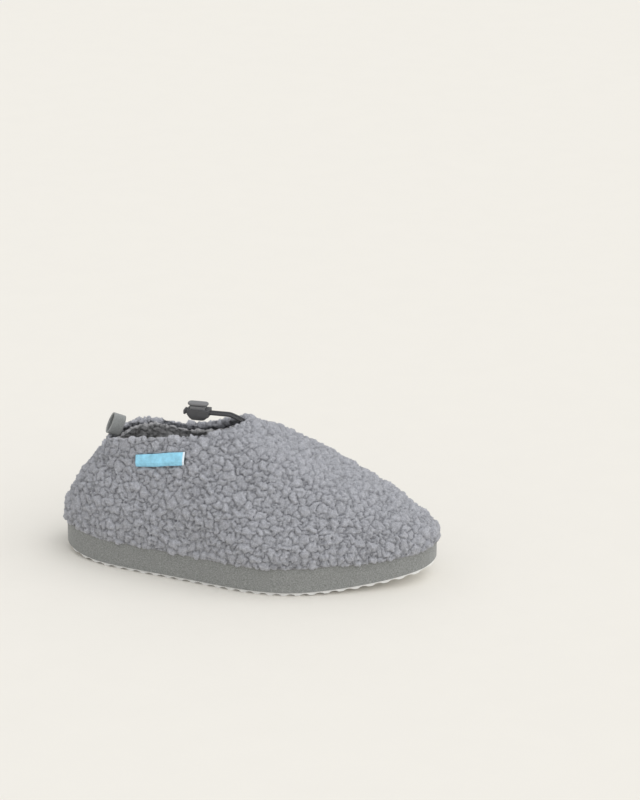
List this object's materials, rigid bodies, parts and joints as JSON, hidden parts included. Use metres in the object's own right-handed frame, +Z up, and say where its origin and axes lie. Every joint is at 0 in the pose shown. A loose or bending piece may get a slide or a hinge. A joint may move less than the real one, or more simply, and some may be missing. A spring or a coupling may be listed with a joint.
{
  "type": "house slipper",
  "caption": "Right-foot closed-heel house slipper: curly grey fleece upper, padded platform sole, elastic drawcord with push-button lock, heel pull tab.",
  "frame": {"origin": "outsole's flat underside, at half the sole's length, on the heel-to-toe line", "axes": "+X from heel to toe, +Y to the big-toe side, +Z up"},
  "size_m": [0.2717, 0.1054, 0.1166],
  "materials": {
    "outsole": "matte",
    "midsole": "closed-cell foam",
    "wrap": "micro-suede",
    "board": "fibre board",
    "foam": "open foam",
    "footbed": "short pile",
    "fleece": "curly fleece",
    "lining": "short pile",
    "stiffener": "thermoplastic felt",
    "tab": "grosgrain",
    "label": "woven satin",
    "cord": "braided elastic",
    "lock": "moulded matte",
    "cap": "moulded satin",
    "spring": "bright",
    "cord_end": "moulded matte"
  },
  "bodies": {
    "slipper": {"outsole": "outsole", "midsole_core": "midsole", "sole_wrap": "wrap", "insole_board": "board", "footbed_foam": "foam", "footbed_cover": "footbed", "fleece_upper": "fleece", "collar_band": "fleece", "lining": "lining", "heel_counter": "stiffener", "toe_puff": "stiffener", "heel_tab": "tab", "side_label": "label", "channel_cord": "cord", "strand_outer": "cord", "strand_inner": "cord", "cord_end": "cord_end"},
    "cord_lock": {"lock_body": "lock", "lock_spring": "spring"},
    "lock_button": {"lock_plunger": "cap"}
  },
  "joints": [
    {"name": "lock_slide", "type": "slide", "parent": "slipper", "child": "cord_lock", "axis": [1, 0, 0], "range_m": [0, 0.01]},
    {"name": "button_press", "type": "slide", "parent": "cord_lock", "child": "lock_button", "axis": [0, 0, -1], "range_m": [0, 0.0016], "stiffness_N_per_m": 400, "springref_m": -0.002, "deforming": ["lock_spring"]}
  ]
}
